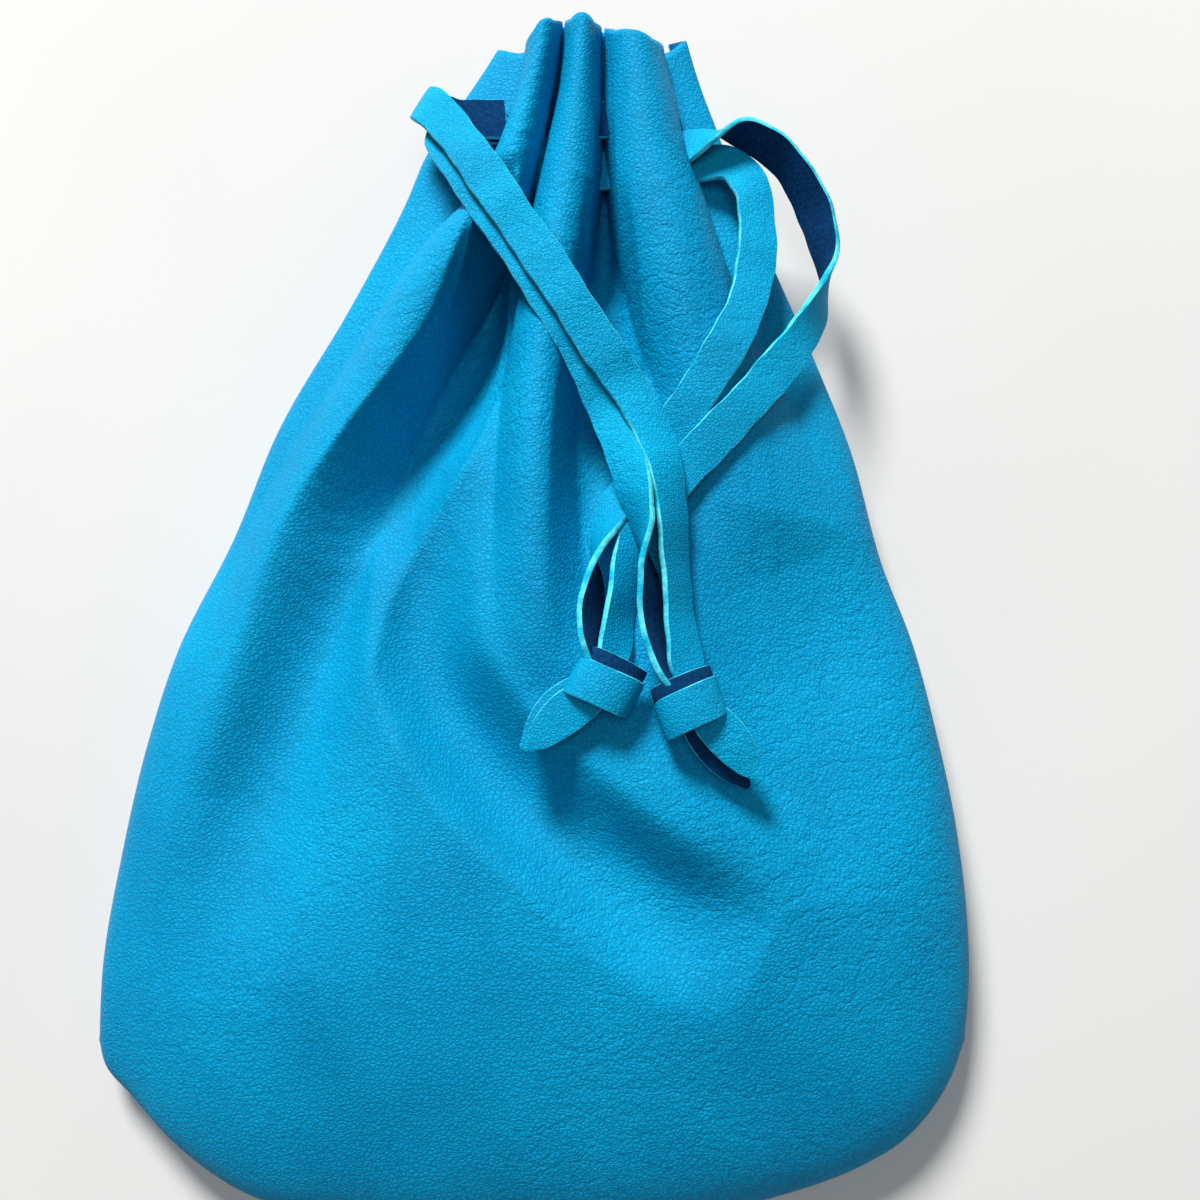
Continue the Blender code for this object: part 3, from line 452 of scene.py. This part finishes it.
def ramp(nodes, links, value, stops):
    """Colour or grey read off a value, at (position, colour) stops."""
    made = nodes.new("ShaderNodeValToRGB")
    elements = made.color_ramp.elements
    while len(elements) < len(stops):
        elements.new(0.5)
    for element, (position, colour) in zip(elements, stops):
        element.position = position
        element.color = (*colour, 1)
    links.new(value, made.inputs["Fac"])
    return made.outputs["Color"]


def mixed(nodes, links, kind, share, first, second):
    """Two colours blended; the share of the second is a number or a socket."""
    made = nodes.new("ShaderNodeMix")
    made.data_type = "RGBA"
    made.blend_type = kind
    if isinstance(share, (int, float)):
        made.inputs["Factor"].default_value = share
    else:
        links.new(share, made.inputs["Factor"])
    links.new(first, made.inputs["A"])
    links.new(second, made.inputs["B"])
    return made.outputs["Result"]


def bump(nodes, links, height, distance, strength, below=None):
    """A normal bumped by a height, on top of the normal below it."""
    made = nodes.new("ShaderNodeBump")
    made.inputs["Distance"].default_value = distance
    made.inputs["Strength"].default_value = strength
    links.new(height, made.inputs["Height"])
    if below is not None:
        links.new(below, made.inputs["Normal"])
    return made.outputs["Normal"]


def white(nodes):
    """A plain white socket."""
    made = nodes.new("ShaderNodeRGB")
    made.outputs["Color"].default_value = (1, 1, 1, 1)
    return made.outputs["Color"]


def grey(value):
    return (value, value, value)


def pebbles(nodes, links, place, size):
    """Leather grain: rounded pebbles of about this size, parted by fine valleys."""
    bent = nodes.new("ShaderNodeTexNoise")
    bent.inputs["Scale"].default_value = 0.5 / size
    bent.inputs["Detail"].default_value = 2
    links.new(place, bent.inputs["Vector"])
    shift = nodes.new("ShaderNodeVectorMath")
    shift.operation = "MULTIPLY_ADD"
    links.new(bent.outputs["Color"], shift.inputs[0])
    shift.inputs[1].default_value = grey(size * 0.7)
    links.new(place, shift.inputs[2])
    cells = nodes.new("ShaderNodeTexVoronoi")
    cells.feature = "DISTANCE_TO_EDGE"
    cells.inputs["Scale"].default_value = 1 / size
    links.new(shift.outputs["Vector"], cells.inputs["Vector"])
    return cells.outputs["Distance"]


def leather(name, grain_size, colours, creasing):
    """Dyed soft leather: mottled colour, pebbled grain with painted shade in its valleys, fine creases and a
    little sheen.
    """
    made, nodes, links, shader = new_material(name, 0.52, SPECULAR)
    place = nodes.new("ShaderNodeTexCoord").outputs["Object"]
    dark, middle, light = colours
    clouds = noise(nodes, links, place, 38, 4)
    colour = ramp(nodes, links, clouds, [(0.30, dark), (0.52, middle), (0.75, light)])
    grain = pebbles(nodes, links, place, grain_size)
    fine = pebbles(nodes, links, place, grain_size * FINE_GRAIN_SHARE)
    # Painted shade: the colour is darkened in the grain's valleys between the pebbles.
    valley_shade = ramp(nodes, links, grain, [(0.0, grey(0.66)), (0.15, grey(1))])
    colour = mixed(nodes, links, "MULTIPLY", 0.65, colour, valley_shade)
    specks = ramp(nodes, links, noise(nodes, links, place, 900, 3), [(0.35, grey(0.86)), (0.6, grey(1))])
    colour = mixed(nodes, links, "MULTIPLY", 0.6, colour, specks)
    links.new(colour, shader.inputs["Base Color"])
    rough = ramp(nodes, links, clouds, [(0.3, grey(0.47)), (0.7, grey(0.62))])
    links.new(rough, shader.inputs["Roughness"])
    creases = noise(nodes, links, place, 170, 4, (1.0, 1.35, 1.0))
    sharp = ramp(nodes, links, creases, [(0.44, grey(1)), (0.50, grey(0)), (0.56, grey(1))])
    patches = ramp(nodes, links, noise(nodes, links, place, 22, 1), [(0.42, grey(0)), (0.62, grey(1))])
    sharp = mixed(nodes, links, "MIX", patches, white(nodes), sharp)
    normal = bump(nodes, links, sharp, 0.00022, creasing)
    rounded = ramp(nodes, links, grain, [(0.0, grey(0)), (0.22, grey(0.8)), (0.5, grey(1))])
    normal = bump(nodes, links, rounded, 0.00018, 0.6, normal)
    rounded = ramp(nodes, links, fine, [(0.0, grey(0)), (0.25, grey(1))])
    normal = bump(nodes, links, rounded, 0.00005, 0.6, normal)
    links.new(normal, shader.inputs["Normal"])
    return made


def suede(name, dark, light):
    """The flesh side of the leather: dark, matt and finely fibrous."""
    made, nodes, links, shader = new_material(name, 0.95, 0.1)
    place = nodes.new("ShaderNodeTexCoord").outputs["Object"]
    fibres = noise(nodes, links, place, 1400, 5)
    links.new(ramp(nodes, links, fibres, [(0.3, dark), (0.7, light)]), shader.inputs["Base Color"])
    links.new(bump(nodes, links, fibres, 0.0002, 0.6), shader.inputs["Normal"])
    return made


def cut_edge(name, dark, light):
    """The cut edge of the leather: pale, with a darker dyed skin and loose fibres."""
    made, nodes, links, shader = new_material(name, 0.85, 0.15)
    place = nodes.new("ShaderNodeTexCoord").outputs["Object"]
    fibres = noise(nodes, links, place, 1100, 4)
    patches = noise(nodes, links, place, 260, 2)
    colour = ramp(nodes, links, patches, [(0.35, dark), (0.6, light)])
    shade = ramp(nodes, links, fibres, [(0.3, grey(0.72)), (0.65, grey(1))])
    links.new(mixed(nodes, links, "MULTIPLY", 1.0, colour, shade), shader.inputs["Base Color"])
    links.new(bump(nodes, links, fibres, 0.0003, 0.7), shader.inputs["Normal"])
    return made


def thread_finish():
    """Twisted sewing thread: fine slanting plies."""
    made, nodes, links, shader = new_material("thread", 0.6, 0.3)
    place = nodes.new("ShaderNodeTexCoord").outputs["Object"]
    plies = noise(nodes, links, place, 2500, 2, (1, 1, 3))
    dark, light = THREAD_COLOURS
    links.new(ramp(nodes, links, plies, [(0.3, dark), (0.7, light)]), shader.inputs["Base Color"])
    links.new(bump(nodes, links, plies, 0.0001, 0.5), shader.inputs["Normal"])
    return made


def floor_finish():
    """Plain pale paper."""
    made, nodes, links, shader = new_material("floor", 0.9, 0.1)
    place = nodes.new("ShaderNodeTexCoord").outputs["Object"]
    clouds = noise(nodes, links, place, 6, 2)
    dark, light = FLOOR_COLOURS
    links.new(ramp(nodes, links, clouds, [(0.3, dark), (0.7, light)]), shader.inputs["Base Color"])
    return made


# ---------------------------------------------------------------- panels

def add_object(name, points, faces, materials, face_materials=None):
    """A smooth-shaded mesh object that rides the part's body."""
    mesh = bpy.data.meshes.new(name)
    mesh.from_pydata([tuple(p) for p in points], [], faces)
    mesh.validate()
    made = bpy.data.objects.new(name, mesh)
    bpy.context.scene.collection.objects.link(made)
    for finish in materials:
        mesh.materials.append(finish)
    if face_materials is not None:
        mesh.polygons.foreach_set("material_index", face_materials)
    mesh.shade_smooth()
    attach(made, "root")
    return made


def open_slit(obj, slit):
    """Cuts a slit through every pleat wall that the slit's bar crosses."""
    low, high = np.array(slit)
    form = bmesh.new()
    form.from_mesh(obj.data)
    for axis in (1, 2, 0):
        way = [0, 0, 0]
        way[axis] = 1
        for corner in (low, high):
            near = [face for face in form.faces
                    if all(low[k] - SLIT_REACH < face.calc_center_median()[k] < high[k] + SLIT_REACH
                           for k in range(3))]
            edges = {edge for face in near for edge in face.edges}
            points = {point for face in near for point in face.verts}
            bmesh.ops.bisect_plane(form, geom=[*near, *edges, *points], plane_co=tuple(corner), plane_no=way)
    gone = [face for face in form.faces
            if all(low[k] < face.calc_center_median()[k] < high[k] for k in range(3))]
    bmesh.ops.delete(form, geom=gone, context="FACES")
    form.to_mesh(obj.data)
    form.free()


def make_panel(name, node, sheet, faces_up, slits, finishes):
    """A panel as a sheet of leather: grain outside, flesh inside and a cut edge."""
    points, faces = panel_faces(sheet)
    if not faces_up:
        faces = [face[::-1] for face in faces]
    panel = add_object(name, points, faces, finishes)
    for slit in slits:
        open_slit(panel, slit)
    panel.data.shade_smooth()
    skin = panel.modifiers.new("leather", "SOLIDIFY")
    skin.thickness = LEATHER
    skin.offset = -1
    skin.material_offset = 1
    skin.material_offset_rim = 2
    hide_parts(node)


def flared(sheet):
    """The front's rows, its mouth cut square across the pleats: their flanks reach as far as their crests."""
    sheet = sheet.copy()
    near = np.clip((sheet[..., 1] - FLARE_START) / (FLARE_END - FLARE_START), 0, 1) ** 2
    deep = np.clip(FLARE_CREST - sheet[..., 2], 0, FLARE_DEPTH)
    sheet[..., 1] += near * deep * FLARE_SLOPE
    return sheet


# ---------------------------------------------------------------- laces

# Section of a lace as (across, up) shares of its half width and half thickness, and each face's finish.
LACE_SECTION = [(-0.96, 0.86), (-0.60, 1.0), (0.0, 1.05), (0.60, 1.0), (0.96, 0.86), (1.0, 0.5), (1.0, -0.5),
                (0.96, -0.86), (0.60, -1.0), (0.0, -1.0), (-0.60, -1.0), (-0.96, -0.86), (-1.0, -0.5),
                (-1.0, 0.5)]
LACE_FINISHES = [0, 0, 0, 0, 2, 2, 2, 1, 1, 1, 1, 2, 2, 2]


def lace_line(stations):
    """Middles, ways across and ways up along a strand, at even steps."""
    middles = np.array([middle for middle, _ in stations])
    across = np.array([way for _, way in stations], float)
    steps = np.linalg.norm(np.diff(middles, axis=0), axis=1)
    at = np.concatenate([[0], np.cumsum(steps)])
    where = np.linspace(0, at[-1], max(6, round(at[-1] / FINE_STEP)) + 1)
    middles = smooth_between(at, middles, where)
    across = smooth_between(at, across, where)
    travel = np.gradient(middles, axis=0)
    travel /= np.linalg.norm(travel, axis=1)[:, None]
    up = np.cross(across, travel)
    up /= np.linalg.norm(up, axis=1)[:, None]
    return where, middles, across, up


def lace_strip(name, stations, finishes, widths=None, wobble=0.0, gathered=False):
    """A flat strip of leather with a rounded grain side, a flesh side and two cut edges."""
    where, middles, across, up = lace_line(stations)
    across = across / np.linalg.norm(across, axis=1)[:, None]
    if widths is None:
        width = 1 + 0.035 * np.sin(where * 310 + wobble) + 0.02 * np.sin(where * 890 + 2 * wobble)
    else:
        width = np.interp(np.linspace(0, 1, len(where)), np.linspace(0, 1, len(widths)), widths)
    if gathered:
        width = width * (1 - 0.5 * np.clip((where - where[-1] + KNOT_REACH) / KNOT_REACH, 0, 1) ** 2)
    lift = 0.00012 * np.sin(where * 520 + 3 * wobble)
    middles = middles + up * lift[:, None]
    ring = len(LACE_SECTION)
    points = []
    for k in range(len(where)):
        for side, top in LACE_SECTION:
            points.append(middles[k] + across[k] * side * width[k] * LACE_HALF_WIDTH
                          + up[k] * top * LACE_THICKNESS / 2)
    faces = []
    kinds = []
    for k in range(len(where) - 1):
        for s in range(ring):
            n = (s + 1) % ring
            faces.append((k * ring + s, (k + 1) * ring + s, (k + 1) * ring + n, k * ring + n))
            kinds.append(LACE_FINISHES[s])
    faces.append(tuple(range(ring)))
    faces.append(tuple((len(where) - 1) * ring + s for s in reversed(range(ring))))
    kinds += [2, 2]
    made = add_object(name, points, faces, finishes, kinds)
    made.data.set_sharp_from_angle(angle=math.radians(40))
    return made, middles


def wrap_stations(centre, along_way, radii, start, turn, pitch):
    """Stations of a band wound round a knot: an ellipse round the axis along_way, from angle start on."""
    axis = np.array(along_way, float)
    axis /= np.linalg.norm(axis)
    side = np.cross(axis, (0, 0, 1))
    side /= np.linalg.norm(side)
    top = np.cross(side, axis)
    stations = []
    count = max(8, round(abs(turn) / 20))
    for k in range(count + 1):
        angle = math.radians(start + turn * k / count)
        shift = pitch * (k / count - 0.5)
        place = (np.array(centre) + side * radii[0] * math.cos(angle)
                 + top * radii[1] * math.sin(angle) + axis * shift)
        stations.append((tuple(place), tuple(-axis if turn < 0 else axis)))
    return stations


def knot_core(name, centre, finishes):
    """The gathered strands inside a knot, as one soft lump."""
    bpy.ops.mesh.primitive_uv_sphere_add(segments=32, ring_count=20, radius=1, location=(0, 0, 0))
    made = bpy.context.object
    made.name = name
    for point in made.data.vertices:
        x, y, z = point.co
        ripple = 1 + CORE_RIPPLE * math.sin(4 * math.atan2(y, x) + 1) * (1 - z * z)
        point.co = (centre[0] + x * CORE_RADII[0] * ripple, centre[1] + y * CORE_RADII[1] * ripple,
                    centre[2] + z * CORE_RADII[2])
    made.data.materials.append(finishes[0])
    made.data.shade_smooth()
    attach(made, "root")
    return made


def make_knot(side, centre, way, tails, finishes, wobble):
    """An overhand knot: a lump of strands, a flesh-side loop and the band wound over it, and two tails."""
    pieces = [knot_core(side + "_knot_core", centre, finishes)]
    axis = np.array(way, float)
    axis /= np.linalg.norm(axis)
    inner = tuple(np.array(centre) - axis * LOOP_BACK)
    loop = wrap_stations(inner, way, LOOP_RADII, LOOP_START, LOOP_TURN, LOOP_PITCH)
    loop = [(middle, tuple(-np.array(across))) for middle, across in loop]
    pieces.append(lace_strip(side + "_knot_loop", loop, finishes, LOOP_WIDTHS, wobble)[0])
    outer = tuple(np.array(centre) + axis * BAND_FORWARD)
    band = wrap_stations(outer, way, BAND_RADII, BAND_START, BAND_TURN, BAND_PITCH)
    pieces.append(lace_strip(side + "_knot_band", band, finishes, BAND_WIDTHS, wobble)[0])
    for number, tail in enumerate(tails):
        pieces.append(lace_strip(f"{side}_tail_{number}", tail, finishes, TAIL_WIDTHS, wobble + number)[0])
    for piece in pieces:
        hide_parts(side)
    return pieces


def make_strand(name, stations, finishes, node, wobble):
    """One strand of a lace, from the neck to its knot."""
    made, middles = lace_strip(name, stations, finishes, wobble=wobble, gathered=True)
    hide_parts(node)


def make_run(name, stations, finishes, node, wobble):
    """The part of a lace inside the neck, through the pleats."""
    made, _ = lace_strip(name, stations, finishes, wobble=wobble)
    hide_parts(node)


def make_laces(finishes):
    """Both laces: their knots, their runs round the neck and their two strands each."""
    left_knot = make_knot("left_lace", LEFT_KNOT, LEFT_KNOT_WAY, LEFT_TAILS, finishes, 1.0)
    right_knot = make_knot("right_lace", RIGHT_KNOT, RIGHT_KNOT_WAY, RIGHT_TAILS, finishes, 2.0)
    make_run("left_lace_run", LEFT_NECK_RUN, finishes, "left_lace", 0.4)
    make_run("right_lace_run", RIGHT_NECK_RUN, finishes, "right_lace", 0.9)
    make_strand("left_lace_upper", LEFT_UPPER_STRAND, finishes, "left_lace", 0.2)
    make_strand("left_lace_under", LEFT_UNDER_STRAND, finishes, "left_lace", 1.3)
    make_strand("right_lace_outer", RIGHT_OUTER_STRAND, finishes, "right_lace", 2.1)
    make_strand("right_lace_inner", RIGHT_INNER_STRAND, finishes, "right_lace", 3.4)


# ---------------------------------------------------------------- thread

def make_thread(sheet, finish):
    """The thread of the seam, as one fine strand round it."""
    seam = sheet.reshape(-1, 3)[seam_order(*sheet.shape[:2])]
    line = inset(seam, SEAM_ALLOWANCE + THREAD_INSET)
    line[:, 2] = level(SEAM_HEIGHT, seam[:, 1]) + THREAD_LIFT
    line = line[2:-2:4]
    curve = bpy.data.curves.new("sewing_thread", "CURVE")
    curve.dimensions = "3D"
    curve.bevel_depth = THREAD_RADIUS
    curve.bevel_resolution = 2
    curve.use_fill_caps = True
    route = curve.splines.new("POLY")
    route.points.add(len(line) - 1)
    for point, place in zip(route.points, line):
        point.co = (*place, 1)
    thread = bpy.data.objects.new("sewing_thread", curve)
    bpy.context.scene.collection.objects.link(thread)
    curve.materials.append(finish)
    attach(thread, "root")
    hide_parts("seam_thread")


# ---------------------------------------------------------------- studio

def make_camera():
    """The camera over the bag, turned about X only."""
    made = bpy.data.objects.new("camera", bpy.data.cameras.new("camera"))
    bpy.context.scene.collection.objects.link(made)
    place, aim = np.array(CAMERA_PLACE), np.array(CAMERA_AIM)
    made.location = CAMERA_PLACE
    made.rotation_euler = (math.atan2(aim[1] - place[1], place[2] - aim[2]), 0, 0)
    made.data.lens = CAMERA_LENS
    made.data.sensor_width = CAMERA_SENSOR
    made.data.clip_start = 0.01
    bpy.context.scene.camera = made


def make_floor():
    """The plain floor that the bag lies on."""
    far = FLOOR_REACH
    points = [(-far, -far, 0), (far, -far, 0), (far, far, 0), (-far, far, 0)]
    mesh = bpy.data.meshes.new("floor")
    mesh.from_pydata(points, [], [(0, 1, 2, 3)])
    floor = bpy.data.objects.new("floor", mesh)
    bpy.context.scene.collection.objects.link(floor)
    mesh.materials.append(floor_finish())


def add_light(name, place, size, power, colour):
    """A round soft light aimed at the bag."""
    lamp = bpy.data.lights.new(name, "AREA")
    lamp.shape = "DISK"
    lamp.size = size
    lamp.energy = power
    lamp.color = colour
    made = bpy.data.objects.new(name, lamp)
    bpy.context.scene.collection.objects.link(made)
    made.location = place
    way = mathutils.Vector(LIGHT_AIM) - mathutils.Vector(place)
    made.rotation_euler = way.to_track_quat("-Z", "Y").to_euler()


def make_light():
    """The pale sky and the studio lights."""
    world = bpy.data.worlds.new("studio")
    world.use_nodes = True
    sky = world.node_tree.nodes["Background"]
    sky.inputs["Color"].default_value = SKY_COLOUR
    sky.inputs["Strength"].default_value = SKY_STRENGTH
    bpy.context.scene.world = world
    for light in LIGHTS:
        add_light(*light)
    bpy.context.scene.view_settings.view_transform = "Standard"


def main():
    make_camera()
    grain = leather("lace_leather", LACE_GRAIN, LACE_COLOURS, 0.4)
    flesh = suede("lace_flesh", *LACE_FLESH)
    edge = cut_edge("lace_edge", *LACE_EDGE)
    make_laces([grain, flesh, edge])
    panel_finishes = [leather("panel_leather", PANEL_GRAIN, PANEL_COLOURS, 0.5),
                      suede("panel_flesh", *PANEL_FLESH),
                      cut_edge("panel_edge", *PANEL_EDGE)]
    front_rows = flared(panel_rows(front_point, *PANEL_GRID))
    back_rows = panel_rows(back_point, *PANEL_GRID)
    make_panel("front_leather", "front_panel", front_rows, True, FRONT_SLITS, panel_finishes)
    make_panel("back_leather", "back_panel", back_rows, False, BACK_SLITS, panel_finishes)
    make_thread(front_rows, thread_finish())
    make_floor()
    make_light()


main()
